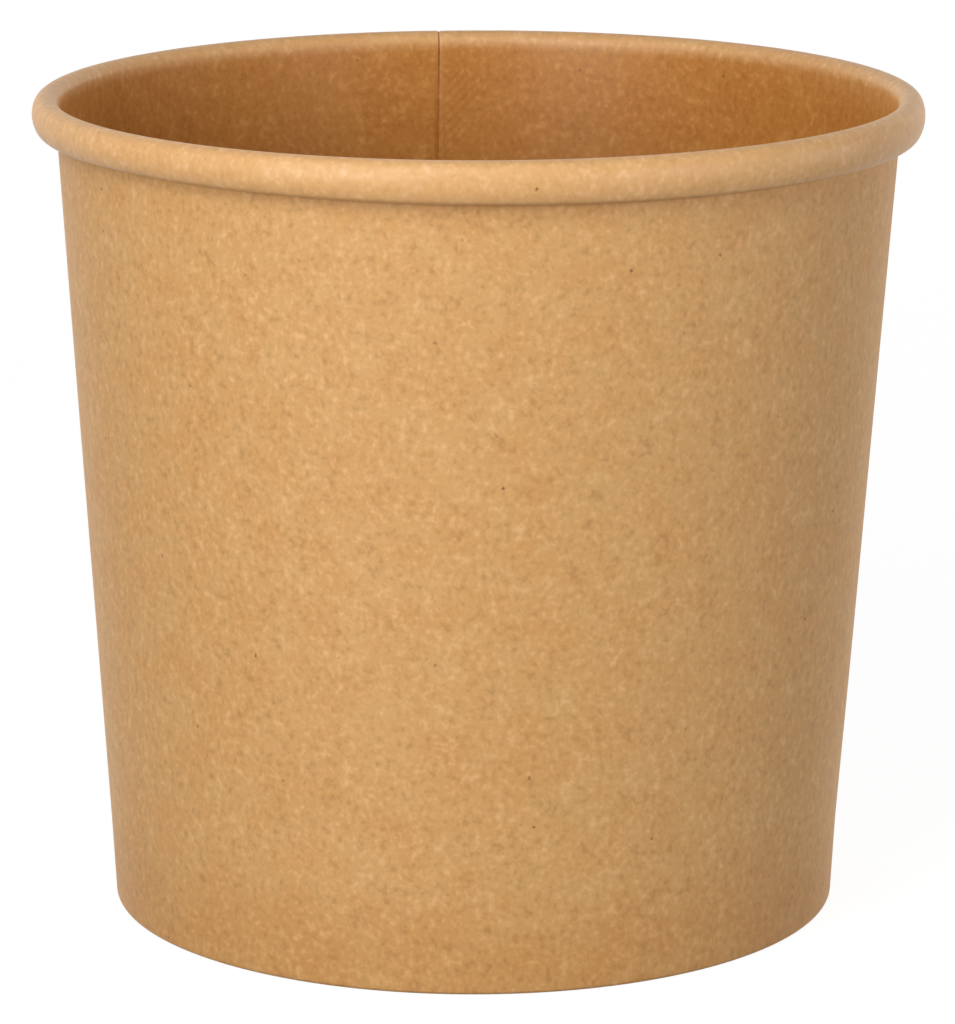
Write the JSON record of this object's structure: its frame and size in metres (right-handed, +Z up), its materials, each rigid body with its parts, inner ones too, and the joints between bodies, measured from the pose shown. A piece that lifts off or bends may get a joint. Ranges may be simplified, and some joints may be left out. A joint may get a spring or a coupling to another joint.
{
  "type": "paper soup cup",
  "caption": "Round tapered kraft paper cup for hot food, with a rolled rim for a lid and a recessed base held by a folded foot.",
  "frame": {"origin": "on the cup's axis, in the plane that its foot rests on", "axes": "+Z up along the cup's axis, and -Y towards the viewer, so the wall's lap is at the back"},
  "size_m": [0.09, 0.09, 0.0835],
  "materials": {
    "kraft_wall": "matte kraft board, coated on the inside",
    "kraft_base": "matte kraft board, coated on the inside"
  },
  "bodies": {
    "root": {"side_wall": "kraft_wall", "base_disc": "kraft_base"}
  },
  "joints": []
}
